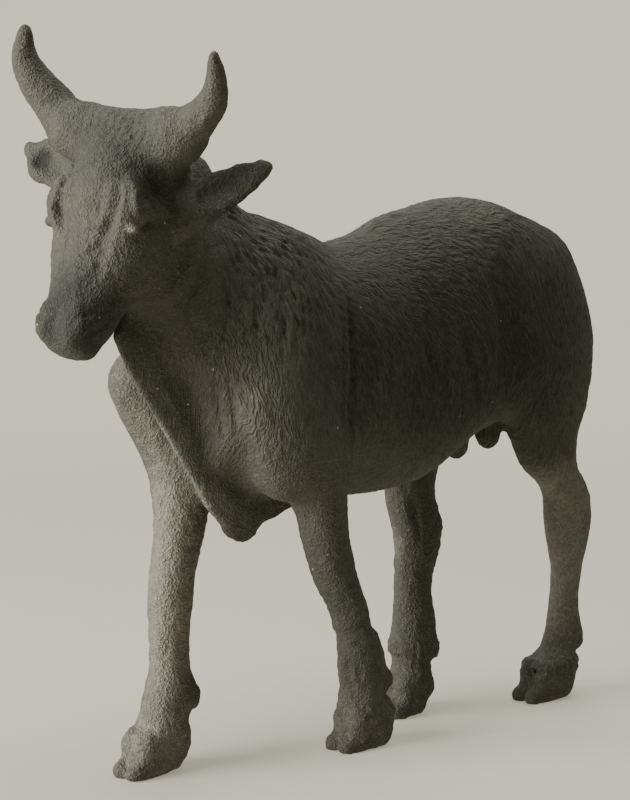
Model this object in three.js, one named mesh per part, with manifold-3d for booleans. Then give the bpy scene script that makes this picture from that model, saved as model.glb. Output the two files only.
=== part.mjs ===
// A bronze bull, cast in one piece: humpless, walking, with a hanging dewlap and crescent horns.
// Millimetres, +Z up. The bull faces -Y and its left side is +X.
// The form is modelled like clay: soft masses are merged in a grid of distances, skinned and trimmed.
import * as THREE from "three";
import { MarchingCubes } from "three/addons/objects/MarchingCubes.js";
import { SimplifyModifier } from "three/addons/modifiers/SimplifyModifier.js";
import { mergeVertices } from "three/addons/utils/BufferGeometryUtils.js";
import Module from "manifold-3d";

// Driving dimensions
const withersHeight = 280;
const croupHeight = 296;
const bellyHeight = 136;
const bodyHalfWidth = 45;
const headLength = 120;
const hornGirth = 23.6;
const earLength = 58;
const hoofLength = 38;
const hoofWidth = 25;
const hoofHeight = 22;
const cleftWidth = 2.4;

// The grid that the clay is modelled in, and the mesh that is made from it
const gridSide = 424;
const gridCells = 160;
const gridStart = new THREE.Vector3(-gridSide / 2, -100, -12);
const vertexTarget = 4740;
const emptySpace = 1e3;

const { abs, min, max, hypot, sin, cos, round, floor, ceil } = Math;
const step = gridSide / gridCells;
const clay = new Float32Array(gridCells ** 3).fill(emptySpace);

// Smooth union of two distances, rounded over the length k.
function softUnion(a, b, k) {
  const h = max(k - abs(a - b), 0) / k;
  return min(a, b) - (h * h * k) / 4;
}

// Runs work(index, x, y, z) over the grid points in a box.
function overBox(low, high, work) {
  const origin = gridStart.toArray();
  const from = low.map((v, i) => max(1, floor((v - origin[i]) / step)));
  const to = high.map((v, i) => min(gridCells - 2, ceil((v - origin[i]) / step)));
  for (let k = from[2]; k <= to[2]; k++)
    for (let j = from[1]; j <= to[1]; j++)
      for (let i = from[0]; i <= to[0]; i++)
        work(
          i + j * gridCells + k * gridCells * gridCells,
          gridStart.x + i * step,
          gridStart.y + j * step,
          gridStart.z + k * step,
        );
}

function addClay(form, soft = 8) {
  const margin = soft + 2 * step;
  overBox(
    form.low.map((v) => v - margin),
    form.high.map((v) => v + margin),
    (at, x, y, z) => {
      clay[at] = softUnion(clay[at], form.distance(x, y, z), soft);
    },
  );
}

function carveClay(form, soft = 3) {
  const margin = soft + 2 * step;
  overBox(
    form.low.map((v) => v - margin),
    form.high.map((v) => v + margin),
    (at, x, y, z) => {
      clay[at] = -softUnion(-clay[at], form.distance(x, y, z), soft);
    },
  );
}

// An egg-shaped lump with its own radii along X, Y and Z.
function lump([cx, cy, cz], [rx, ry, rz]) {
  return {
    low: [cx - rx, cy - ry, cz - rz],
    high: [cx + rx, cy + ry, cz + rz],
    distance(x, y, z) {
      const px = (x - cx) / rx;
      const py = (y - cy) / ry;
      const pz = (z - cz) / rz;
      const k = hypot(px, py, pz);
      return (k * (k - 1)) / max(hypot(px / rx, py / ry, pz / rz), 1e-6);
    },
  };
}

// A roll from one point to another that tapers between two radii; flat squeezes it along X.
function roll(start, startRadius, end, endRadius, flat = 1) {
  const a = [start[0] / flat, start[1], start[2]];
  const d = [end[0] / flat - a[0], end[1] - a[1], end[2] - a[2]];
  const square = d[0] ** 2 + d[1] ** 2 + d[2] ** 2;
  const reach = max(startRadius, endRadius);
  return {
    low: [0, 1, 2].map((i) => min(start[i], end[i]) - reach),
    high: [0, 1, 2].map((i) => max(start[i], end[i]) + reach),
    distance(x, y, z) {
      const px = x / flat - a[0];
      const py = y - a[1];
      const pz = z - a[2];
      const t = min(1, max(0, (px * d[0] + py * d[1] + pz * d[2]) / square));
      const radius = startRadius + (endRadius - startRadius) * t;
      return (hypot(px - d[0] * t, py - d[1] * t, pz - d[2] * t) - radius) * min(flat, 1);
    },
  };
}

// A form moved from its own frame into the bull's by a rigid matrix.
function placed(form, matrix) {
  const e = matrix.clone().invert().elements;
  const box = new THREE.Box3(new THREE.Vector3(...form.low), new THREE.Vector3(...form.high));
  box.applyMatrix4(matrix);
  return {
    low: box.min.toArray(),
    high: box.max.toArray(),
    distance: (x, y, z) =>
      form.distance(
        e[0] * x + e[4] * y + e[8] * z + e[12],
        e[1] * x + e[5] * y + e[9] * z + e[13],
        e[2] * x + e[6] * y + e[10] * z + e[14],
      ),
  };
}

// A trunk along one axis: each station gives its place on the axis and the section's centre and
// half sizes, which run smoothly from one station to the next. The ends are domed by the length dome.
function trunk(axis, stations, dome, power = 2) {
  const [u, v] = [0, 1, 2].filter((i) => i !== axis);
  const first = stations[0][0];
  const last = stations.at(-1)[0];
  const values = (t) => {
    let i = 0;
    while (i < stations.length - 2 && t > stations[i + 1][0]) i++;
    const near = [i - 1, i, i + 1, i + 2].map((n) => stations[min(max(n, 0), stations.length - 1)]);
    const f = min(1, max(0, (t - near[1][0]) / (near[2][0] - near[1][0])));
    return near[1].map((_, c) => {
      const slopeA = (near[2][c] - near[0][c]) / 2;
      const slopeB = (near[3][c] - near[1][c]) / 2;
      const bend = near[1][c] - near[2][c];
      return (
        near[1][c] +
        f * (slopeA + f * (-3 * bend - 2 * slopeA - slopeB + f * (2 * bend + slopeA + slopeB)))
      );
    });
  };
  const table = [];
  for (let t = first; t <= last + 1; t += 1) table.push(values(min(t, last)));
  const low = [0, 0, 0];
  const high = [0, 0, 0];
  low[axis] = first - dome;
  high[axis] = last + dome;
  low[u] = min(...stations.map((s) => s[1] - s[3]));
  high[u] = max(...stations.map((s) => s[1] + s[3]));
  low[v] = min(...stations.map((s) => s[2] - s[4]));
  high[v] = max(...stations.map((s) => s[2] + s[4]));
  return {
    low,
    high,
    distance(...point) {
      const t = min(last, max(first, point[axis]));
      const row = table[round(t - first)];
      const a = row[3];
      const b = row[4];
      const pu = abs(point[u] - row[1]) / a;
      const pv = abs(point[v] - row[2]) / b;
      const pt = abs(point[axis] - t) / dome;
      const k = (pu ** power + pv ** power + pt ** power) ** (1 / power);
      if (k < 1e-3) return -min(a, b);
      const slope =
        hypot(pu ** (power - 1) / a, pv ** (power - 1) / b, pt ** (power - 1) / dome) /
        k ** (power - 1);
      return max((k - 1) / max(slope, 1e-6), -min(a, b));
    },
  };
}

// A hanging fold of skin in the plane x = 0: it is thin at its free edge and widens inwards like a wedge.
function fold(edgePoints, closing, thin, slope, widest) {
  const outline = [...edgePoints, ...closing];
  const ys = outline.map((p) => p[0]);
  const zs = outline.map((p) => p[1]);
  const reach = 40;
  const inside = (y, z) => {
    let odd = false;
    outline.forEach(([y1, z1], i) => {
      const [y2, z2] = outline[(i + 1) % outline.length];
      if (z1 > z !== z2 > z && y < ((y2 - y1) * (z - z1)) / (z2 - z1) + y1) odd = !odd;
    });
    return odd;
  };
  const toEdge = (y, z) => {
    let best = Infinity;
    for (let i = 0; i < edgePoints.length - 1; i++) {
      const [y1, z1] = edgePoints[i];
      const dy = edgePoints[i + 1][0] - y1;
      const dz = edgePoints[i + 1][1] - z1;
      const t = min(1, max(0, ((y - y1) * dy + (z - z1) * dz) / (dy * dy + dz * dz)));
      best = min(best, hypot(y - y1 - dy * t, z - z1 - dz * t));
    }
    return best;
  };
  return {
    low: [-reach, min(...ys), min(...zs)],
    high: [reach, max(...ys), max(...zs)],
    distance(x, y, z) {
      const gap = toEdge(y, z);
      const depth = inside(y, z) ? gap : -gap;
      if (depth < thin) return hypot(x, thin - depth) - thin;
      const half = min(widest, thin + slope * (depth - thin));
      return (abs(x) - half) * cos(slope);
    },
  };
}

// Barrel: place along Y, then centre x, centre z, half width and half height.
function band(y, halfWidth, low, high, x = 0) {
  return [y, x, (low + high) / 2, halfWidth, (high - low) / 2];
}

function makeBarrel() {
  const barrel = [
    band(28, 27, 158, 262),
    band(48, 38, 146, withersHeight + 2),
    band(72, 43, 139, withersHeight - 2),
    band(98, bodyHalfWidth - 2, bellyHeight + 1, withersHeight - 8),
    band(130, bodyHalfWidth, bellyHeight - 1, withersHeight - 3),
    band(165, bodyHalfWidth + 1, bellyHeight + 3, croupHeight - 8, 1),
    band(200, bodyHalfWidth - 1, 157, croupHeight - 1, 3),
    band(235, bodyHalfWidth - 3, 172, croupHeight - 9, 4),
    band(262, 33, 205, croupHeight - 23, 4),
    band(274, 24, 226, croupHeight - 30, 4),
  ];
  addClay(trunk(1, barrel, 12, 2.2), 6);
  // spine ridge along the loins, and the hip bones beside it
  addClay(roll([1, 150, 275], 9, [3, 215, 282], 9), 12);
  for (const side of [-1, 1]) {
    addClay(roll([3 + side * 22, 212, 274], 13, [3 + side * 25, 248, 259], 14), 20);
    addClay(lump([side * 26, 105, 214], [18, 30, 44]), 14);
  }
}

function makeNeck() {
  addClay(roll([0, -2, 280], 27, [0, 62, 236], 41, 0.82), 14);
  addClay(roll([0, -8, 260], 24, [0, 54, 208], 42, 0.84), 12);
  // crest from the poll to the withers
  addClay(roll([0, 11, 306], 12.5, [0, 36, 276], 8), 12);
  addClay(roll([0, 36, 276], 8, [0, 84, 266], 9), 12);
}

function makeDewlap() {
  const freeEdge = [
    [-22, 250],
    [-36, 230],
    [-29, 215],
    [-17, 197],
    [-5, 180],
    [8, 161],
    [21, 142],
    [33, 127],
    [43, 118],
    [51, 118],
    [60, 126],
    [69, 128],
    [82, 133],
  ];
  const hidden = [
    [84, 170],
    [40, 235],
    [5, 262],
  ];
  addClay(fold(freeEdge, hidden, 2.4, 0.28, 26), 6);
}

// A shoulder: its blade's middle along Y, then the place of its point and of the breast below it.
function makeShoulder(side, blade, [pointY, pointZ], breast) {
  addClay(lump([side * 25, blade, 222], [19, 33, 54]), 14);
  addClay(roll([side * 27, pointY, pointZ], 13, [side * 27, pointY + 20, pointZ - 24], 17, 0.9), 12);
  addClay(roll([side * 27, blade - 6, 186], 20, [side * 24, blade - 2, 158], 16, 0.85), 12);
  addClay(roll([side * 27, breast, 202], 17, [side * 26, breast + 23, 163], 17, 0.9), 10);
  // the shoulder ends in a low step along the ribs
  carveClay(roll([side * 54, blade + 27, 240], 9, [side * 54, blade + 29, 172], 9), 9);
}

function makeForeLeg(leg) {
  addClay(trunk(2, leg.map(([z, x, y, across, along]) => [z, x, y, across, along]), 10), 9);
}

function makeHaunch(side, hip, stifle) {
  const x = 3 + side * 22;
  addClay(lump([x, hip - 12, 226], [22, 44, 50]), 14);
  addClay(roll([x, hip, 206], 28, [x, stifle, 152], 15, 0.8), 14);
  // from the seat bone down the back of the thigh
  addClay(roll([3 + side * 14, 265, 246], 16, [x, stifle + 13, 180], 15, 0.9), 12);
  // the front edge of the thigh stands clear of the flank
  addClay(lump([x, hip + 9, 209], [21, 32, 42]), 12);
  carveClay(roll([3 + side * 53, hip - 52, 246], 9, [3 + side * 52, hip - 42, 182], 9), 9);
}

function makeHoof({ place: [x, y], turn, depth, heel }) {
  const frame = new THREE.Matrix4().makeRotationZ(turn).setPosition(x, y, 0);
  const half = hoofWidth / 2;
  for (const side of [-1, 1]) {
    const toe = roll(
      [side * half * 0.42, -hoofLength * 0.38, 3],
      5.5,
      [side * half * 0.5, hoofLength * 0.2, 8],
      8.5,
      0.9,
    );
    addClay(placed(toe, frame), 4);
    const crown = roll(
      [side * half * 0.4, -hoofLength * 0.16, hoofHeight * 0.72],
      7.4,
      [side * half * 0.45, hoofLength * depth, hoofHeight * 0.8],
      8.5,
      0.9,
    );
    addClay(placed(crown, frame), 5);
    const dewclaw = lump([side * half * 0.5, heel, hoofHeight * 1.65], [4.5, 4, 6]);
    addClay(placed(dewclaw, frame), 4);
  }
}

// Head, in a frame of its own: x to its left, y back, z up, with the poll at the origin.
const headFrame = new THREE.Matrix4()
  .makeRotationFromEuler(new THREE.Euler(-0.35, 0.06, 0.22, "ZYX"))
  .setPosition(-1.5, -19, 332);

function makeHead() {
  const put = (form, soft) => addClay(placed(form, headFrame), soft);
  const skull = [
    [-headLength + 6, 0, -2, 13, 11],
    [-headLength + 18, 0, -1.5, 18, 15.5],
    [-headLength + 36, 0, 0, 21, 18],
    [-headLength + 56, 0, 4, 29, 22],
    [-headLength + 76, 0, 9, 28.5, 30],
    [-headLength + 96, 0, 10, 28.5, 32],
    [-15, 0, 4, 30, 24],
    [-5, 0, 0, 27, 15],
  ];
  put(trunk(2, skull, 6), 5);
  // cheeks, eyes and the ridge between the horns
  for (const side of [-1, 1]) {
    put(lump([side * 14, 16, -62], [10, 26, 24]), 10);
    put(lump([side * 21, -12, -50], [6.5, 7.5, 8]), 6);
    put(roll([side * 18, -16.5, -39], 4.5, [side * 25.5, -5, -41], 4.5), 7);
    put(lump([side * 8.5, -13.5, 14 - headLength], [6.5, 6, 9]), 7);
    carveClay(placed(lump([side * 10.5, -20.5, 13 - headLength], [2.6, 3.2, 3.4]), headFrame), 2);
  }
  put(roll([-24, -2, -4], 10, [24, -2, -4], 10), 10);
}

// A horn: four points of its course out from the poll, then how it tapers to its tip.
function makeHorn(side, stations, { taper, fullness }) {
  const root = [
    [22, -2, -9],
    [34, -5, -6],
  ];
  const course = new THREE.CatmullRomCurve3(
    [...root, ...stations].map(([x, y, z]) => new THREE.Vector3(side * x, y, z)),
  );
  const pieces = 12;
  const radiusAt = (t) => (hornGirth / 2) * (1 - taper * t ** fullness);
  for (let i = 0; i < pieces; i++) {
    const [t0, t1] = [i / pieces, (i + 1) / pieces];
    const form = roll(
      course.getPoint(t0).toArray(),
      radiusAt(t0),
      course.getPoint(t1).toArray(),
      radiusAt(t1),
    );
    addClay(placed(form, headFrame), i < 3 ? 8 : 1.5);
  }
}

// A leaf-shaped ear with a hollow on its front, set low by drop, raised by slant, laid back by sweep.
function makeEar(side, { length, breadth, drop, slant, sweep, blunt }) {
  const frame = headFrame
    .clone()
    .multiply(new THREE.Matrix4().makeTranslation(side * 24, 12, -34 - drop))
    .multiply(new THREE.Matrix4().makeRotationZ(side * sweep))
    .multiply(new THREE.Matrix4().makeRotationY(-side * slant));
  const lobes = 6;
  for (let i = 0; i < lobes; i++) {
    const t = (i + 0.5) / lobes;
    const size = [length * 0.14, 4.2 - 1.4 * t, (breadth / 2) * (1 - 0.72 * t ** 2.6)];
    addClay(placed(lump([side * length * t, 0, 0], size), frame), 5);
  }
  addClay(placed(roll([0, 2, 0], 8, [side * length * 0.3, 1, 0], 7), frame), 6);
  if (blunt) addClay(placed(lump([side * length * 0.72, 0, 0], [11, 6, blunt]), frame), 3);
  const hollow = lump([side * length * 0.62, -5.5, 0], [length * 0.3, 4.5, breadth * 0.3]);
  carveClay(placed(hollow, frame), 2);
}

function makeTailAndUnderside() {
  addClay(roll([3, 262, 267], 10, [3, 288, 262], 6), 8);
  addClay(roll([3, 287, 261], 5.5, [3, 281, 244], 4.5), 6);
  // sheath, and the two lobes of the scrotum
  addClay(roll([1, 165, 146], 7, [2, 205, 162], 7), 10);
  addClay(lump([-1, 211, 155], [7.5, 6.5, 10]), 5);
  addClay(lump([5, 231, 160], [8.5, 7, 10]), 5);
}

// Legs: height, then centre x and y, then half sizes across and along.
const rightFore = [
  [12, -20, 11.5, 11, 13],
  [26, -20, 9.5, 12, 14],
  [38, -20, 14, 12.5, 16],
  [52, -20, 13.5, 10.5, 11.5],
  [70, -20, 13.5, 10, 11],
  [90, -20, 14.5, 11.5, 12],
  [104, -20, 16, 12, 12.3],
  [122, -20, 20.5, 12.5, 14],
  [150, -22, 26, 15, 18],
  [178, -25, 34, 17, 22],
];
const leftFore = [
  [12, 20, 116, 11, 12],
  [26, 20, 115, 12, 13],
  [38, 20, 114, 12, 13.5],
  [50, 20, 113.5, 12, 14],
  [60, 20, 111, 11, 11.8],
  [68, 20, 107, 10.5, 10.5],
  [82, 21, 100.5, 11.3, 11],
  [98, 21, 92.5, 12, 12.5],
  [116, 22, 86, 12.5, 13.3],
  [140, 24, 79, 14.5, 15.2],
  [172, 25, 74, 17, 22],
];
const rightHind = [
  [12, -9, 181, 10, 11],
  [26, -9, 182.5, 11, 11],
  [40, -9, 184, 12.8, 14.3],
  [54, -9, 184.5, 11.5, 13.5],
  [74, -10, 185, 10, 11.8],
  [94, -10, 187.8, 11, 15],
  [108, -12, 190, 12, 17],
  [124, -15, 187.5, 13, 16],
  [146, -18, 190, 15, 17],
  [175, -18, 206, 20, 29],
];
const leftHind = [
  [12, 24, 272, 10, 12],
  [26, 24, 275.5, 11.5, 12],
  [38, 24, 279, 10.5, 11.8],
  [52, 24, 279, 9, 9.5],
  [74, 24, 281, 9, 9.4],
  [92, 24, 281.8, 10.5, 14.5],
  [107, 24, 281.3, 11.5, 17],
  [122, 25, 278, 12.5, 16],
  [144, 26, 262, 13.5, 16.8],
  [172, 26, 254, 19, 24],
];

// Skins the clay and brings the skin down to the vertices the part may have.
async function skinClay() {
  const cubes = new MarchingCubes(gridCells, new THREE.Material(), false, false, 240000);
  const level = cubes.isolation;
  clay.forEach((distance, at) => {
    cubes.field[at] = level - max(-40, min(40, distance));
  });
  cubes.update();
  const skin = new THREE.BufferGeometry();
  const points = cubes.positionArray.slice(0, cubes.count * 3);
  skin.setAttribute("position", new THREE.BufferAttribute(points, 3));
  skin.translate(1, 1, 1);
  skin.scale(gridSide / 2, gridSide / 2, gridSide / 2);
  skin.translate(...gridStart.toArray());
  const whole = mergeVertices(skin, 1e-2);
  const simplify = new SimplifyModifier();
  return simplify.modify(whole, whole.attributes.position.count - vertexTarget);
}

const wasm = await Module();
wasm.setup();

function solidOf(geometry) {
  const bare = geometry.index ? geometry.toNonIndexed() : geometry.clone();
  bare.deleteAttribute("normal");
  bare.deleteAttribute("uv");
  const merged = mergeVertices(bare, 1e-3);
  return new wasm.Manifold(
    new wasm.Mesh({
      numProp: 3,
      vertProperties: merged.attributes.position.array,
      triVerts: new Uint32Array(merged.index.array),
    }),
  );
}

function geometryOf(solid) {
  const mesh = solid.getMesh();
  return new THREE.BufferGeometry()
    .setAttribute("position", new THREE.BufferAttribute(mesh.vertProperties, 3))
    .setIndex(new THREE.BufferAttribute(mesh.triVerts, 1));
}

function boxSolid(size, centre, turn = 0) {
  const box = new THREE.BoxGeometry(...size);
  box.rotateZ(turn);
  box.translate(...centre);
  return solidOf(box);
}

// Each hoof's place on the ground, its turn, and how far its crown and its dewclaws reach back
const hooves = [
  { place: [-20, 0], turn: 0.08, depth: 0.3, heel: 24 },
  { place: [20, 113], turn: 0, depth: 0.28, heel: 13 },
  { place: [-9, 180], turn: 0.05, depth: 0.1, heel: 14 },
  { place: [24, 262], turn: -0.05, depth: 0.26, heel: 20 },
];

makeBarrel();
makeNeck();
makeDewlap();
makeShoulder(-1, 40, [5, 204], 2);
makeShoulder(1, 58, [41, 193], 46);
[rightFore, leftFore, rightHind, leftHind].forEach(makeForeLeg);
makeHaunch(-1, 230, 195);
makeHaunch(1, 249, 257);
hooves.forEach(makeHoof);
// the heel of the right hind hoof is broken away
carveClay(lump([0, 199, -1], [23, 17, 15.5]), 2);
makeHead();
makeHorn(
  -1,
  [
    [44.5, -10, 3],
    [53.5, -18, 12],
    [58.2, -26, 21.5],
    [56, -33, 33],
  ],
  { taper: 0.72, fullness: 1.9 },
);
makeHorn(
  1,
  [
    [46, -10, 1],
    [57.5, -18, 7],
    [62.5, -26, 14.5],
    [64.5, -34, 22.5],
  ],
  { taper: 0.8, fullness: 1.2 },
);
makeEar(-1, { length: earLength - 1, breadth: 24, drop: 0, slant: 0.4, sweep: 0, blunt: 12.5 });
makeEar(1, { length: earLength - 3, breadth: 25, drop: 10, slant: 0.74, sweep: 0.5, blunt: 0 });
makeTailAndUnderside();

let bull = solidOf(await skinClay());
const below = 60;
bull = bull.subtract(boxSolid([gridSide, 2 * gridSide, below], [0, 0, -below / 2]));
for (const { place, turn } of hooves) {
  const reach = hoofLength * 0.55;
  const centre = [
    place[0] + sin(turn) * hoofLength * 0.36,
    place[1] - cos(turn) * hoofLength * 0.36,
    hoofHeight * 0.3,
  ];
  bull = bull.subtract(boxSolid([cleftWidth, reach, hoofHeight * 0.9], centre, turn));
}

// the origin is under the middle of the bull, on the ground
const geometry = geometryOf(bull);
geometry.computeBoundingBox();
const middle = geometry.boundingBox.getCenter(new THREE.Vector3());

const bronze = new THREE.MeshStandardMaterial({ color: 0x3b372f, roughness: 0.75, metalness: 0.6 });
const mesh = new THREE.Mesh(geometry, bronze);
mesh.name = "bull";
mesh.position.set(-middle.x, -middle.y, 0);
const part = new THREE.Group();
part.add(mesh);

export default part;
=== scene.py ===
import itertools
import math
import bpy
import bmesh
import numpy as np
from mathutils import Euler, Matrix, Vector
from mathutils.kdtree import KDTree


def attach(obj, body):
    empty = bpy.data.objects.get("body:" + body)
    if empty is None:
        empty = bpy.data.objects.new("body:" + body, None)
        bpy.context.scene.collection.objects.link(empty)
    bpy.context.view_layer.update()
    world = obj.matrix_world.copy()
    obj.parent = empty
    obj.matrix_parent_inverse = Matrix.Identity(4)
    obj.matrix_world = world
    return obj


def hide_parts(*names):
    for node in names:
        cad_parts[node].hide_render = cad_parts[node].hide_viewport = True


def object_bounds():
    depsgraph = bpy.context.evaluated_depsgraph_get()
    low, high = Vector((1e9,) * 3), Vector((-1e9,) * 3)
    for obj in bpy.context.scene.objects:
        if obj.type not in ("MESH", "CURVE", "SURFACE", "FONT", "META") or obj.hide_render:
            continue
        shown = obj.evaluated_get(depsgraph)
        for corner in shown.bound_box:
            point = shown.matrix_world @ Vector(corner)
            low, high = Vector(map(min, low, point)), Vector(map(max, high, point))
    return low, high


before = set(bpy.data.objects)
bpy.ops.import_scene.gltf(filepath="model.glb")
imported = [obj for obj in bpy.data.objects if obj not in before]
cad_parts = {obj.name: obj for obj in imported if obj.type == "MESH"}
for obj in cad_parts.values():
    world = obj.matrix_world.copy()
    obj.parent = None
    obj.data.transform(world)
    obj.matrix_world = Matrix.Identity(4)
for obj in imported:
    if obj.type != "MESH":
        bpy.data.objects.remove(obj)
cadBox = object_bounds()

# The viewpoint: eye height and place in metres, turn and tilt in degrees.
viewpoint = {
    "place": (0.7445, -0.7019, 0.300),
    "turn": 47,
    "tilt": 6.307,
    "lens": 85.5,
    "longSide": 36,
}


def makeCamera():
    camera = bpy.data.cameras.new("viewpoint")
    camera.lens = viewpoint["lens"]
    camera.sensor_width = viewpoint["longSide"]
    holder = bpy.data.objects.new("viewpoint", camera)
    holder.location = viewpoint["place"]
    holder.rotation_euler = (math.radians(90 - viewpoint["tilt"]), 0, math.radians(viewpoint["turn"]))
    bpy.context.scene.collection.objects.link(holder)
    bpy.context.scene.camera = holder
    print("camera ready")


makeCamera()


# Shader maths: a Wire is a socket that can be used in sums, and makeNode adds any other node.
class Wire:
    def __init__(self, tree, socket):
        self.tree = tree
        self.socket = socket

    def work(self, operation, first, second):
        return makeNode(self.tree, "Math", {"operation": operation}, {0: first, 1: second}).out()

    def __add__(self, other):
        return self.work("ADD", self, other)

    def __sub__(self, other):
        return self.work("SUBTRACT", self, other)

    def __rsub__(self, other):
        return self.work("SUBTRACT", other, self)

    def __mul__(self, other):
        return self.work("MULTIPLY", self, other)

    def limit(self, low, high):
        span = {"From Min": low, "From Max": high, "Value": self}
        settings = {"interpolation_type": "SMOOTHSTEP"}
        return makeNode(self.tree, "MapRange", settings, span).out("Result")


class Made:
    def __init__(self, tree, node):
        self.tree = tree
        self.node = node

    def out(self, name=0):
        return Wire(self.tree, self.node.outputs[name])


def makeNode(tree, kind, settings, inputs):
    node = tree.nodes.new("ShaderNode" + kind)
    for name, value in settings.items():
        if name == "stops":
            while len(node.color_ramp.elements) < len(value):
                node.color_ramp.elements.new(0.5)
            for element, (place, colour) in zip(node.color_ramp.elements, value):
                element.position = place
                element.color = (*colour, 1)
        else:
            setattr(node, name, value)
    for name, value in inputs.items():
        if isinstance(value, Wire):
            tree.links.new(value.socket, node.inputs[name])
        else:
            node.inputs[name].default_value = value
    return Made(tree, node)


def newMaterial(name):
    material = bpy.data.materials.new(name)
    material.use_nodes = True
    tree = material.node_tree
    tree.nodes.clear()
    return material, tree


def finishMaterial(tree, shader):
    output = tree.nodes.new("ShaderNodeOutputMaterial")
    tree.links.new(shader.socket, output.inputs["Surface"])


# The room: a pale floor that fades into a pale surround, a soft light before the bull, a weak one behind
# it and a broad one overhead.
room = {
    "paleness": (0.90, 0.872, 0.675),
    "floorTone": (0.53, 0.515, 0.43),
    "floorGlow": 0.35,
    "floorRadius": 4.0,
    "fadeStart": 0.4,
    "fadeEnd": 1.5,
    "surroundFill": 0.035,
    "keyPlace": (-0.62, -1.78, 0.66),
    "keySize": 1.3,
    "keyPower": 104,
    "backPlace": (-1.6, 1.3, 1.5),
    "backSize": 1.2,
    "backPower": 14,
    "overheadPlace": (0.1, 0.35, 1.9),
    "overheadSize": 1.3,
    "overheadPower": 36,
}


def makeRoom():
    world = bpy.data.worlds.new("surround")
    world.use_nodes = True
    sky = world.node_tree
    sky.nodes.clear()
    seen = makeNode(sky, "LightPath", {}, {}).out("Is Camera Ray")
    strength = seen * (1 - room["surroundFill"]) + room["surroundFill"]
    paleness = {"Color": (*room["paleness"], 1), "Strength": strength}
    backdrop = makeNode(sky, "Background", {}, paleness).out()
    sky.links.new(backdrop.socket, sky.nodes.new("ShaderNodeOutputWorld").inputs["Surface"])
    bpy.context.scene.world = world

    bm = bmesh.new()
    bmesh.ops.create_circle(bm, cap_ends=True, radius=room["floorRadius"], segments=96)
    mesh = bpy.data.meshes.new("floor")
    bm.to_mesh(mesh)
    bm.free()
    floor = bpy.data.objects.new("floor", mesh)
    bpy.context.scene.collection.objects.link(floor)
    material, tree = newMaterial("floorPaint")
    coordinates = makeNode(tree, "TexCoord", {}, {}).out("Object")
    distance = makeNode(tree, "VectorMath", {"operation": "LENGTH"}, {0: coordinates}).out("Value")
    fade = distance.limit(room["fadeStart"], room["fadeEnd"]) * (1 - room["floorGlow"]) + room["floorGlow"]
    matt = makeNode(tree, "BsdfDiffuse", {}, {"Color": (*room["floorTone"], 1)}).out()
    glow = makeNode(tree, "Emission", {}, {"Color": (*room["paleness"], 1)}).out()
    finishMaterial(tree, makeNode(tree, "MixShader", {}, {0: fade, 1: matt, 2: glow}).out())
    mesh.materials.append(material)

    for name in ("key", "back", "overhead"):
        light = bpy.data.lights.new(name, "AREA")
        light.energy = room[name + "Power"]
        light.size = room[name + "Size"]
        lamp = bpy.data.objects.new(name, light)
        lamp.location = room[name + "Place"]
        aim = Vector((0, 0, 0.2)) - lamp.location
        lamp.rotation_euler = aim.to_track_quat("-Z", "Y").to_euler()
        bpy.context.scene.collection.objects.link(lamp)
    print("room ready")


makeRoom()


# The casting. Lengths are in millimetres and angles in radians. Middle is where the spine lies across the
# frame, and hooves below hardBelow take only the hoofSoftness share of the settling.
casting = {
    "middle": 5.4,
    "voxel": 0.85,
    "triangles": 198000,
    "settling": 12,
    "settleFactor": 0.5,
    "hardBelow": 24,
    "hoofSoftness": 0.12,
    "followStep": 1.2,
    "coarseCrust": 0.5,
    "fineCrust": 0.32,
    "lockSpacing": 3.4,
    "lockStep": 1.2,
    "lockWidth": 1.5,
    "lockDepth": 0.7,
}

# The head has a frame of its own: x to the bull's left, y back, z up, with the poll at its origin.
head = {
    "poll": (3.9, -130, 332),
    "pitch": -0.35,
    "roll": 0.06,
    "turn": 0.22,
}

# Each hoof's place on the ground and its turn, the height where the hair over it ends and how far its locks
# stand out, where the notch under its spurs lies (how far back and how high), how far forward the web in
# its cleft reaches at the top, and how far its front is set back there.
hooves = [
    {"place": (-14.6, -111), "turn": 0.08, "hairline": 19, "fringe": 0.35,
     "notch": (24, 29), "brow": -11.5, "slope": 0},
    {"place": (25.4, 2), "turn": 0.0, "hairline": 19, "fringe": 0.35,
     "notch": (15, 28), "brow": -11.5, "slope": 1},
    {"place": (-3.6, 69), "turn": 0.05, "hairline": 31, "fringe": 1.3,
     "notch": (16, 30), "brow": -11.5, "slope": 0},
    {"place": (29.4, 151), "turn": -0.05, "hairline": 17, "fringe": 1.5,
     "notch": (20, 27), "brow": -9.5, "slope": 3.5},
]

# The web in each cleft, in the hoof's own frame: how far forward it reaches at the sole, where it ends
# behind, how high it runs and half its thickness.
web = {
    "front": -17.2,
    "back": -2,
    "bottom": 0.8,
    "top": 18,
    "half": 1.4,
}

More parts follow.
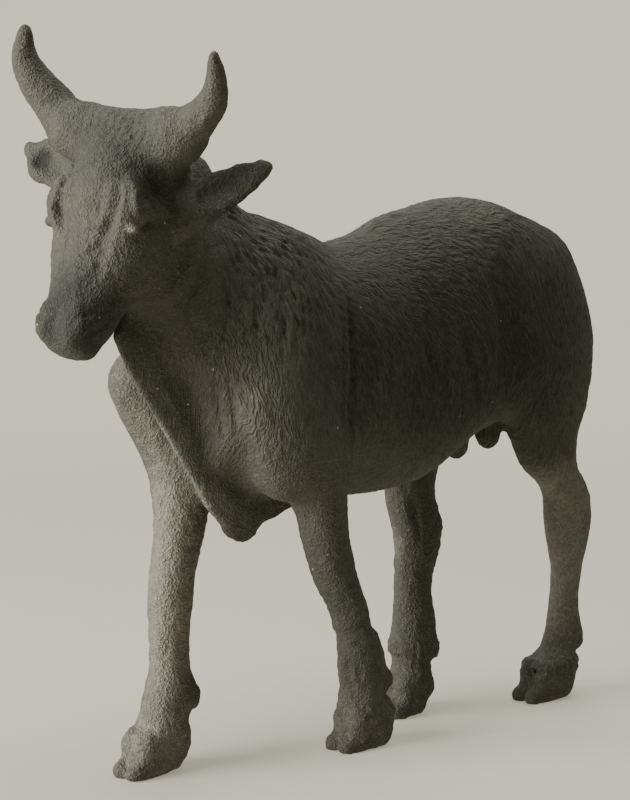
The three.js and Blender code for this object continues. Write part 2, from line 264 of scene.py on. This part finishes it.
# Light and shade painted on the bronze, pale above 0 and dark below it: middle, radii and strength. Pale
# patches are painted light on lit parts (the point of the left shoulder, the knob under the left eye, the
# right shoulder, the dewlap's edge, the legs and hooves); dark ones are painted shade on shaded parts
# (forehead, muzzle, left ear, the right ear's cup, flank, left shoulder, haunch, left foreleg).
paintedLightAndShade = [
    ((40, -86, 190), (13, 14, 21), 0.35),
    ((-9, 58, 98), (12, 12, 16), 0.8),
    ((33, -155, 282), (5, 5, 5), 1.2),
    ((5, -140, 314), (40, 26, 30), -1.1),
    ((14, -174, 242), (28, 32, 30), -1.05),
    ((44, -108, 302), (32, 25, 26), -1.0),
    ((50, 60, 215), (28, 110, 70), -1.2),
    ((-59, -143, 316), (6, 8, 7), -2.0),
    ((-8, -108, 100), (25, 30, 110), 1.35),
    ((30, -15, 105), (28, 32, 80), -0.25),
    ((-4, 68, 80), (25, 32, 90), 0.1),
    ((33, 155, 95), (28, 36, 85), 1.2),
    ((-20, -105, 215), (26, 30, 50), 0.9),
    ((5, -113, 178), (4, 14, 34), 0.8),
    ((5, -92, 140), (4, 16, 26), 0.8),
    ((48, -40, 215), (22, 30, 50), -0.4),
    ((40, 140, 235), (30, 40, 50), -0.3),
    ((-14, -111, 12), (24, 28, 26), 0.8),
    ((25, 2, 12), (24, 28, 26), 0.45),
    ((-4, 69, 12), (24, 28, 26), 0.3),
    ((29, 151, 12), (24, 28, 22), 0.5),
]


def softNoise(points, size, seed):
    # smooth noise from -1 to 1 with one swelling for each length of size
    spots = points / size + seed * 7.31
    cells = np.floor(spots).astype(np.int64)
    part = spots - cells
    part = part * part * (3 - 2 * part)
    total = np.zeros(len(points))
    for corner in itertools.product((0, 1), repeat=3):
        x, y, z = (cells + corner).T
        mixed = (x * 73856093) ^ (y * 19349663) ^ (z * 83492791) ^ (seed * 40503)
        mixed = (mixed ^ (mixed >> 13)) * 1274126177 & 0x7FFFFFFF
        mixed = (mixed ^ (mixed >> 11)) & 0xFFFF
        weight = np.prod(np.where(corner, part, 1 - part), axis=1)
        total += weight * (mixed / 0x7FFF - 1)
    return total


def step(values, low, high):
    part = np.clip((values - low) / (high - low), 0, 1)
    return part * part * (3 - 2 * part)


def applyModifiers(piece):
    bpy.context.view_layer.update()
    shaped = bpy.data.meshes.new_from_object(piece.evaluated_get(bpy.context.evaluated_depsgraph_get()))
    old = piece.data
    piece.modifiers.clear()
    piece.data = shaped
    bpy.data.meshes.remove(old)


def hoofMatrix(hoof):
    return Matrix.Translation((*hoof["place"], 0)) @ Matrix.Rotation(hoof["turn"], 4, "Z")


def makeClay():
    # the frame's solid, rounded between its facets and remeshed finely enough to carve
    bm = bmesh.new()
    bm.from_mesh(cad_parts["bull"].data)
    bmesh.ops.remove_doubles(bm, verts=bm.verts, dist=1e-6)
    hard = casting["hardBelow"] / 1000
    soft = [edge for edge in bm.edges if min(vert.co.z for vert in edge.verts) > hard]
    bmesh.ops.subdivide_edges(bm, edges=soft, cuts=1, smooth=1, use_grid_fill=True)
    for vert in bm.verts:
        vert.co.z = max(vert.co.z, 0)
    # a web of metal in each cleft, so that the cleft is a groove and not a slot
    for hoof in hooves:
        place = hoofMatrix(hoof)
        low = [(web["front"], web["bottom"]), (web["back"], web["bottom"])]
        outline = low + [(web["back"], web["top"]), (hoof["brow"], web["top"])]
        across = (-web["half"], web["half"])
        corners = [place @ Vector((x, y, z)) / 1000 for x in across for y, z in outline]
        hull = bmesh.ops.convex_hull(bm, input=[bm.verts.new(corner) for corner in corners])
        faces = [part for part in hull["geom"] if isinstance(part, bmesh.types.BMFace)]
        bmesh.ops.recalc_face_normals(bm, faces=faces)
    mesh = bpy.data.meshes.new("castBull")
    bm.to_mesh(mesh)
    bm.free()
    clay = bpy.data.objects.new("castBull", mesh)
    bpy.context.scene.collection.objects.link(clay)
    remesh = clay.modifiers.new("remesh", "REMESH")
    remesh.mode = "VOXEL"
    remesh.voxel_size = casting["voxel"] / 1000
    applyModifiers(clay)
    # the hooves are smoothed less, so that they keep their edges
    group = clay.vertex_groups.new(name="soft")
    upper = [vert.index for vert in clay.data.vertices if vert.co.z >= hard]
    lower = [vert.index for vert in clay.data.vertices if vert.co.z < hard]
    group.add(upper, 1, "REPLACE")
    group.add(lower, casting["hoofSoftness"], "REPLACE")
    settle = clay.modifiers.new("settle", "SMOOTH")
    settle.factor = casting["settleFactor"]
    settle.iterations = casting["settling"]
    settle.vertex_group = "soft"
    applyModifiers(clay)
    print("clay ready:", len(clay.data.vertices), "points")
    return clay


# The skin that the tools work on: its points, where each one faces, and how far each is to be lifted.
class Skin:
    def __init__(self, mesh):
        self.mesh = mesh
        count = len(mesh.vertices)
        places = np.empty(count * 3)
        mesh.vertices.foreach_get("co", places)
        self.points = places.reshape(-1, 3) * 1000
        self.refresh()
        self.lift = np.zeros(count)

    def refresh(self):
        # reads the normals again after the points have moved
        normals = np.empty(len(self.points) * 3, np.float32)
        self.mesh.vertex_normals.foreach_get("vector", normals)
        self.normals = normals.reshape(-1, 3).astype(float)
        self.tree = KDTree(len(self.points))
        for index, point in enumerate(self.points):
            self.tree.insert(point, index)
        self.tree.balance()

    def settle(self):
        # moves the points out by their lift
        self.place(self.points + self.normals * self.lift[:, None])
        self.lift[:] = 0

    def place(self, points):
        low, high = (np.array(corner) * 1000 for corner in cadBox)
        self.points = np.clip(points, low, high)
        self.mesh.vertices.foreach_set("co", (self.points / 1000).ravel())
        self.mesh.update()
        self.refresh()

    def follow(self, course):
        # a course laid on the skin in short steps
        laid = []
        for start, end in zip(course, course[1:]):
            start, end = Vector(start), Vector(end)
            count = max(1, round((end - start).length / casting["followStep"]))
            laid += [start.lerp(end, i / count) for i in range(count)]
        laid.append(Vector(course[-1]))
        return [self.tree.find(place)[0] for place in laid]

    def score(self, course, width, height):
        # a ridge along a course, or a groove where height is negative; it fades at its ends
        laid = self.follow(course)
        deepest = {}
        for i, place in enumerate(laid):
            fade = min(1, 0.45 + 0.55 * min(i, len(laid) - 1 - i) / max(1, 0.25 * len(laid)))
            for _, index, gap in self.tree.find_range(place, width):
                fall = (1 - (gap / width) ** 2) ** 2 * fade
                deepest[index] = max(deepest.get(index, 0), fall)
        for index, fall in deepest.items():
            self.lift[index] += height * fall

    def swell(self, centre, radii, height):
        # a mound, or a hollow where height is negative
        part = np.linalg.norm((self.points - centre) / radii, axis=1)
        self.lift += height * np.clip(1 - part**2, 0, 1) ** 2


def headMatrix():
    turn = Euler((head["pitch"], head["roll"], head["turn"])).to_matrix().to_4x4()
    return Matrix.Translation(head["poll"]) @ turn


def carveHead(skin):
    frameOfHead = headMatrix()

    def at(side, x, y, z):
        return frameOfHead @ Vector((side * x, y, z))

    def score(side, course, width, height):
        skin.score([at(side, *place) for place in course], width, height)

    def swell(side, place, radii, height):
        skin.swell(np.array(at(side, *place)), np.array(radii), height)

    for side in (-1, 1):
        # eye: a hollow before it, a crescent brow over it and a knob below it
        swell(side, (12.5, -18, -44), (5, 7, 10), 0.9)
        score(side, [(16, -19, -33), (18, -19, -42), (17.5, -18, -50), (14, -17, -60)], 4.4, -2.9)
        score(side, [(23, -18, -34), (25.5, -17, -39), (26.5, -16, -45), (26, -14, -50)], 2.8, 2.3)
        swell(side, (29, -9, -47), (7, 8, 8), 3.0)
        score(side, [(28, -13, -39), (32, -6, -42), (32, -4, -50), (28, -8, -54)], 2.2, -1.4)
        swell(side, (26, -12, -56), (3.4, 3.4, 3.8), 3.0)
        # hollow beside the bridge of the nose, and the temple
        score(side, [(14, -17, -58), (13, -15, -68), (13, -14, -80)], 4.5, -1.1)
        swell(side, (25, -2, -26), (9, 10, 9), -1.4)
        # nostril and mouth, both faint under the crust
        score(side, [(5.5, -20, -105), (10, -18.5, -104.5), (13.5, -15, -102), (15, -11.5, -98)], 2.0, -0.8)
        score(side, [(6, -19, -100), (11, -17, -98), (16, -10, -95)], 2.6, 0.5)
        score(side, [(9, -15, -112), (15, -9, -108), (18, -2, -100), (18, 4, -92)], 1.9, -0.7)
        score(side, [(18, -6, -90), (20, 0, -86), (21, 6, -84)], 2.0, -0.5)
        # jaw: its rear edge stands out from the throat
        score(side, [(31, 27, -48), (30, 29, -62), (27, 29, -73), (24, 25, -80)], 5.0, 1.2)
        score(side, [(30, 36, -50), (29, 38, -64), (26, 36, -76)], 4.0, -1.3)
    # cup of the right ear
    swell(-1, (63.3, 6, -18.5), (6.5, 6.5, 6.5), -3.4)
    # lumps of crust along the bridge of the nose, and the hairy poll
    chance = np.random.default_rng(3)
    for i in range(16):
        place = (chance.uniform(2, 12), -17, -60 - 2.8 * i + chance.uniform(-1, 1))
        swell(1, place, [chance.uniform(1.8, 3.2)] * 3, chance.uniform(0.5, 1.3))
    for i in range(9):
        x = -20 + 5 * i
        score(1, [(x, -13, 2), (x + 2, -17, -6), (x + 1, -19, -15 - 3 * (i % 3))], 1.9, -0.6)
    print("head carved")


def carveBody(skin):
    middle = casting["middle"]
    # point of the left shoulder, with the creases before it
    skin.swell(np.array((39.5, -85, 190)), np.array((11, 12, 19)), 1.6)
    skin.score([(24, -96, 206), (22, -94, 192), (21, -89, 175)], 3.0, -1.3)
    skin.score([(31, -94, 208), (30, -92, 196), (29, -87, 182)], 2.4, -0.9)
    # folds of the neck
    skin.score([(36, -83, 262), (40, -81, 246), (39, -85, 231), (41, -83, 222)], 4.0, -1.2)
    skin.score([(42, -73, 262), (45, -71, 246), (47, -73, 222)], 4.5, -1.1)
    skin.score([(30, -95, 262), (32, -95, 246), (31, -97, 228)], 3.5, -0.9)
    for side in (-1, 1):
        shift = 1 if side > 0 else -17
        # rear edge of the shoulder: a raised lip and the furrow behind it
        lip = [(41, -34, 252), (42, -34, 225), (43, -33, 193), (41, -32, 165), (38, -30, 148)]
        skin.score([(middle + side * x, y + shift, z) for x, y, z in lip], 3.6, 1.4)
        skin.score([(middle + side * x, y + 5.5 + shift, z) for x, y, z in lip], 3.8, -2.0)
        # flank and stifle
        for course, width, height in (
            ([(45, 20, 222), (46, 26, 212), (46, 35, 200)], 4.0, -1.2),
            ([(47, 50, 222), (46, 56, 208), (43, 66, 190), (39, 74, 172)], 5.0, -1.3),
            ([(45, 62, 220), (45, 68, 205), (42, 78, 186)], 4.0, -0.9),
            ([(45, 76, 252), (45, 81, 240), (44, 85, 215), (43, 87, 194)], 6.0, -1.3),
        ):
            skin.score([(middle + side * x, y + shift, z) for x, y, z in course], width, height)
        # grooves at the root of the tail
        for i in range(3):
            x = middle + side * (8 + 4 * i)
            skin.score([(x, 146 - 5 * i, 276), (x - side * 3, 160 - 3 * i, 268)], 2.2, -0.9)
    # ribs
    for i in range(6):
        y = -14 + 11 * i
        for side in (-1, 1):
            rib = [(40, 0, 252), (46, 4, 215), (42, 2, 178)]
            skin.score([(middle + side * x, y + bow, z) for x, bow, z in rib], 5.0, 0.4)
    # round plug in the rump
    skin.swell(np.array((37.5, 76, 279)), np.array((3.0, 3.0, 3.0)), 0.9)
    print("body carved")


def carveHoof(skin, hoof):
    place = hoofMatrix(hoof)

    def at(x, y, z):
        return place @ Vector((x, y, z))

    # the front of the hoof, set back over the toes
    skin.swell(np.array(at(0, hoof["brow"] - 3, 20)), (14, 9, 8), -hoof["slope"])
    # upper end of the cleft
    skin.score([at(0, -13, 15), at(0, -10, 21)], 1.6, -0.8)
    # the wall of the hoof, and the locks of hair that hang over it
    edge = []
    for degrees in range(-162, 163, 18):
        angle = math.radians(degrees)
        across, along = 13.5 * math.sin(angle), 16 * math.cos(angle)
        rise = hoof["hairline"] + 2.5 * math.cos(angle)
        edge.append(at(across, 1 - along, rise))
        lock = [at(0.85 * across, 1 - 0.85 * along, rise + 10), at(across, 1 - along, rise + 1)]
        skin.score(lock, 2.5, hoof["fringe"] + 0.3 * math.sin(degrees))
    skin.score(edge, 2.2, -0.6)
    # spurs, with a notch under them
    back, low = hoof["notch"]
    skin.score([at(-9, back - 3, low), at(0, back, low), at(9, back - 3, low)], 3.2, -2.2)
    skin.score([at(-8, back, low + 6), at(8, back, low + 6)], 3.5, 1.0)


def carveLegs(skin):
    for hoof in hooves:
        carveHoof(skin, hoof)
    print("legs carved")


def legShare(points):
    return 1 - step(points[:, 2], 105, 150)


def bareness(points):
    # 1 on head, horns, ears and lower legs, where the crust lies on bare metal, and 0 on the coat
    x, y, z = points.T
    front = 1 - step(y - (z - 250) * 0.25, -112, -88)
    middle = np.abs(x - casting["middle"])
    dewlap = 0.6 * (1 - step(y, -90, -70)) * (1 - step(middle, 12, 20)) * (1 - step(z, 240, 270))
    shoulder = (1 - step(x, -14, -2)) * (1 - step(y, -70, -45))
    thigh = (1 - step(y, 10, 30)) * (1 - step(z, 150, 185))
    return np.max([legShare(points), front * step(z, 205, 240), dewlap, shoulder, thigh], axis=0)


def layOfHair(points):
    # distance along the body, girth from the spine down, and the hair's angle from the one to the other
    x, y, z = points.T
    axis = 205 + 0.5 * np.clip(-45 - y, 0, 90)
    angle = np.arctan2(np.abs(x - casting["middle"]), z - axis)
    girth = angle * 55
    neck = 1 - step(y, -62, -28)
    haunch = step(y, 50, 100)
    lay = 0.3 + 0.9 * step(angle, 0.35, 1.7)
    lay = lay + neck * (1.45 - lay) * (0.35 + 0.65 * step(angle, 0.2, 0.9))
    lay = lay + haunch * (1.35 - lay) * step(angle, 0.2, 0.9)
    lay = np.clip(lay + 0.3 * softNoise(points, 34, 11), 0, 1.57)
    return y, girth, lay


def combHair(skin, bare):
    # wavy cuts between the locks, each one following the lay of the hair from where it starts
    chance = np.random.default_rng(7)
    along, girth, lay = layOfHair(skin.points)
    mane = 1 - step(along, -70, -30)
    chest = mane * (1 - step(skin.points[:, 2], 215, 240))
    sides = np.where(skin.points[:, 0] > casting["middle"], 1.0, -1.0)
    taken = np.zeros(len(skin.points), bool)
    cuts = 0
    for start in chance.permutation(len(skin.points)):
        if taken[start] or bare[start] > 0.5:
            continue
        spacing = casting["lockSpacing"] * (1 + 0.25 * mane[start])
        for _, index, _ in skin.tree.find_range(skin.points[start], spacing):
            taken[index] = True
        cuts += 1
        place, index = Vector(skin.points[start]), start
        course = [place]
        wave = chance.uniform(0, 6.28)
        for i in range(chance.integers(4, 9)):
            normal = Vector(skin.normals[index])
            back = Vector((0, 1, 0))
            back = (back - normal * back.dot(normal)).normalized()
            down = back.cross(normal) * sides[index]
            turn = lay[index] + 0.45 * math.sin(wave + 0.8 * i)
            ahead = place + (back * math.cos(turn) + down * math.sin(turn)) * casting["lockStep"]
            place, index, _ = skin.tree.find(ahead)
            course.append(place)
        share = 0.9 + 0.9 * mane[start] - 1.3 * chest[start]
        depth = casting["lockDepth"] * chance.uniform(0.4, 1.2) * share
        for i, place in enumerate(course):
            fade = math.sin(math.pi * (i + 0.6) / (len(course) + 0.2))
            for _, index, gap in skin.tree.find_range(place, casting["lockWidth"]):
                cut = -depth * fade * (1 - (gap / casting["lockWidth"]) ** 2)
                skin.lift[index] = min(skin.lift[index], cut)
    print("hair combed:", cuts, "cuts")


def crust(skin, bare):
    coarse = softNoise(skin.points, 5.2, 1) + 0.6 * softNoise(skin.points, 3.1, 2)
    fine = softNoise(skin.points, 2.2, 3)
    patches = 0.8 + 0.4 * softNoise(skin.points, 22, 4)
    legs = legShare(skin.points)
    # the left hind leg is the smoothest
    rough = patches * (1 - 0.6 * legs * step(skin.points[:, 1], 105, 130))
    skin.lift += casting["coarseCrust"] * coarse * rough * (0.3 + 0.4 * bare + 0.2 * legs)
    skin.lift += casting["fineCrust"] * fine * rough * (0.3 + 0.6 * bare + 0.4 * legs)


def paintedLightAndShadeOf(points):
    # adds up the painted light and shade at each point
    total = np.zeros(len(points))
    for middle, radii, strength in paintedLightAndShade:
        part = np.linalg.norm((points - middle) / np.array(radii), axis=1)
        total += strength * (1 - step(part, 0.35, 1.1))
    return total


def keep(mesh, name, kind, values):
    slot = {"FLOAT": "value", "FLOAT_VECTOR": "vector"}[kind]
    flat = np.ascontiguousarray(values, np.float32).ravel()
    mesh.attributes.new(name, kind, "POINT").data.foreach_set(slot, flat)


def carve(clay):
    skin = Skin(clay.data)
    carveHead(skin)
    carveBody(skin)
    carveLegs(skin)
    skin.settle()
    smooth = skin.points.copy()
    bare = bareness(smooth)
    combHair(skin, bare)
    crust(skin, bare)
    relief = skin.lift.copy()
    skin.settle()
    along, girth, lay = layOfHair(smooth)
    keep(clay.data, "bare", "FLOAT", bare)
    keep(clay.data, "lay", "FLOAT", lay)
    # painted light and shade, kept for the bronze's colour
    keep(clay.data, "stain", "FLOAT", paintedLightAndShadeOf(smooth))
    keep(clay.data, "relief", "FLOAT", relief)
    keep(clay.data, "coat", "FLOAT_VECTOR", np.stack([along, girth, np.zeros(len(bare))], axis=1) / 1000)
    print("carving ready")


def thin(clay):
    count = sum(len(face.vertices) - 2 for face in clay.data.polygons)
    decimate = clay.modifiers.new("thin", "DECIMATE")
    decimate.ratio = min(1, casting["triangles"] / count)
    applyModifiers(clay)
    mesh = clay.data
    mesh.polygons.foreach_set("use_smooth", [True] * len(mesh.polygons))
    print("casting ready:", len(mesh.polygons), "triangles")


# The bronze: its colours from the darkest to the palest, and sizes in metres. Shares weigh the parts of the
# relief, and tones say how much each thing lightens the metal. The darkest colour holds dark patina and
# painted shade, the palest pale patina and painted light.
bronze = {
    # darkest: dark patina and painted shade in hollows and shaded parts
    "darkPatinaAndPaintedShade": (0.022, 0.021, 0.016),
    "skin": (0.066, 0.062, 0.044),
    # palest: pale patina and painted light on crests and lit parts
    "palePatinaAndPaintedLight": (0.205, 0.190, 0.138),
    "specks": (0.42, 0.41, 0.36),
    "hairWidth": 0.0012,
    "hairLength": 0.0075,
    "hairFan": 5,
    "grain": 0.0019,
    "sand": 0.0010,
    "crumb": 0.0022,
    "broad": 0.03,
    "mottle": 0.005,
    "bumpDepth": 0.0008,
    "grainShare": 0.4,
    "crumbShare": 0.25,
    "sandShare": 0.5,
    "hairShare": 1.3,
    "baseTone": 0.42,
    # the crust, bare crust, hair and relief tones paint shade into hollows and light onto crests; mottle and
    # broad are the patina's own tone
    "crustPaintedShading": 0.24,
    "bareCrustPaintedShading": 0.14,
    "hairPaintedShading": 0.2,
    "mottleTone": 0.25,
    "broadTone": 0.2,
    "reliefPaintedShading": 0.08,
    "paintedLightShadeTone": 0.3,
    "metallic": 0.15,
    "roughness": 0.9,
    "polish": 0.25,
}


def makeHairHeight(tree):
    # strokes in a fan of directions, each one weighed by how near it is to the lay of the hair
    coat = makeNode(tree, "Attribute", {"attribute_name": "coat"}, {}).out("Vector")
    lay = makeNode(tree, "Attribute", {"attribute_name": "lay"}, {}).out("Fac")
    wander = makeNode(tree, "TexNoise", {}, {"Vector": coat, "Scale": 90, "Detail": 1}).out("Color")
    shift = makeNode(tree, "VectorMath", {"operation": "SCALE"}, {0: wander, "Scale": 0.005}).out()
    waved = makeNode(tree, "VectorMath", {"operation": "ADD"}, {0: coat, 1: shift}).out()
    total = 0
    fan = math.radians(90) / (bronze["hairFan"] - 1)
    for i in range(bronze["hairFan"]):
        turned = {"Vector": waved, "Angle": i * fan}
        spun = makeNode(tree, "VectorRotate", {"rotation_type": "Z_AXIS", "invert": True}, turned).out()
        scales = {"Vector": spun, "Scale": (1 / bronze["hairLength"], 1 / bronze["hairWidth"], 1)}
        laid = makeNode(tree, "Mapping", {}, scales).out()
        finely = {"Vector": laid, "Scale": 1, "Detail": 2, "Roughness": 0.55}
        strands = makeNode(tree, "TexNoise", {}, finely).out("Fac")
        off = makeNode(tree, "Math", {"operation": "ABSOLUTE"}, {0: lay - i * fan}).out()
        weight = makeNode(tree, "Math", {"operation": "MAXIMUM"}, {0: 1 - off * (1 / fan), 1: 0}).out()
        total = strands * weight + total
    return total.limit(0.3, 0.7)


def makeBronze():
    material, tree = newMaterial("corrodedBronze")
    place = makeNode(tree, "TexCoord", {}, {}).out("Object")
    bare = makeNode(tree, "Attribute", {"attribute_name": "bare"}, {}).out("Fac")
    relief = makeNode(tree, "Attribute", {"attribute_name": "relief"}, {}).out("Fac")
    # painted light and shade from the patches above
    stain = makeNode(tree, "Attribute", {"attribute_name": "stain"}, {}).out("Fac")

    def noise(size, detail, roughness, name="Fac"):
        inputs = {"Vector": place, "Scale": 1 / size, "Detail": detail, "Roughness": roughness}
        return makeNode(tree, "TexNoise", {}, inputs).out(name)

    broad = noise(bronze["broad"], 3, 0.55)
    mottle = noise(bronze["mottle"], 2, 0.6)
    grains = noise(bronze["grain"], 1, 0.6).limit(0.25, 0.75)
    sand = noise(bronze["sand"], 0, 0.5).limit(0.45, 0.8)
    warp = noise(bronze["crumb"], 1, 0.5, "Color")
    shift = makeNode(tree, "VectorMath", {"operation": "SCALE"}, {0: warp, "Scale": bronze["crumb"]}).out()
    bent = makeNode(tree, "VectorMath", {"operation": "ADD"}, {0: place, 1: shift}).out()
    cells = makeNode(tree, "TexVoronoi", {}, {"Vector": bent, "Scale": 1 / bronze["crumb"], "Randomness": 1})
    crumbs = 1 - cells.out("Distance").limit(0.0, 0.8)
    chosen = makeNode(tree, "SeparateColor", {}, {"Color": cells.out("Color")}).out("Red")
    speck = crumbs.limit(0.7, 0.95) * chosen.limit(0.996, 0.998)
    hair = makeHairHeight(tree)
    crusted = grains * bronze["grainShare"] + crumbs * bronze["crumbShare"] + sand * bronze["sandShare"]
    coat = 1 - bare
    height = crusted * (bare * 0.5 + 0.4) + hair * coat * bronze["hairShare"]
    # tone: the crust grains, hair strokes and carved relief are darker in their hollows and paler on their
    # crests as painted shade and light; mottle and broad vary the patina at random; the painted light and
    # shade patches come last
    tone = (crusted - 0.45) * (bare * bronze["bareCrustPaintedShading"] + bronze["crustPaintedShading"])
    tone = tone + (hair - 0.5) * coat * bronze["hairPaintedShading"]
    tone = tone + (mottle - 0.5) * bronze["mottleTone"] + (broad - 0.5) * bronze["broadTone"]
    tone = tone + relief * bronze["reliefPaintedShading"] + stain * bronze["paintedLightShadeTone"] + bronze["baseTone"]
    stops = [(0, bronze["darkPatinaAndPaintedShade"]), (0.5, bronze["skin"]), (1, bronze["palePatinaAndPaintedLight"])]
    colour = makeNode(tree, "ValToRGB", {"stops": stops}, {"Fac": tone}).out("Color")
    blend = {0: speck, 6: colour, 7: (*bronze["specks"], 1)}
    spotted = makeNode(tree, "Mix", {"data_type": "RGBA"}, blend).out(2)
    raised = {"Height": height, "Strength": 1.0, "Distance": bronze["bumpDepth"]}
    bump = makeNode(tree, "Bump", {}, raised).out()
    roughness = bronze["roughness"] - tone * bronze["polish"]
    inputs = {
        "Base Color": spotted,
        "Metallic": bronze["metallic"],
        "Roughness": roughness,
        "Normal": bump,
    }
    finishMaterial(tree, makeNode(tree, "BsdfPrincipled", {}, inputs).out())
    return material


def makeBull():
    clay = makeClay()
    carve(clay)
    thin(clay)
    clay.data.materials.clear()
    clay.data.materials.append(makeBronze())
    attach(clay, "root")
    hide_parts("bull")


makeBull()
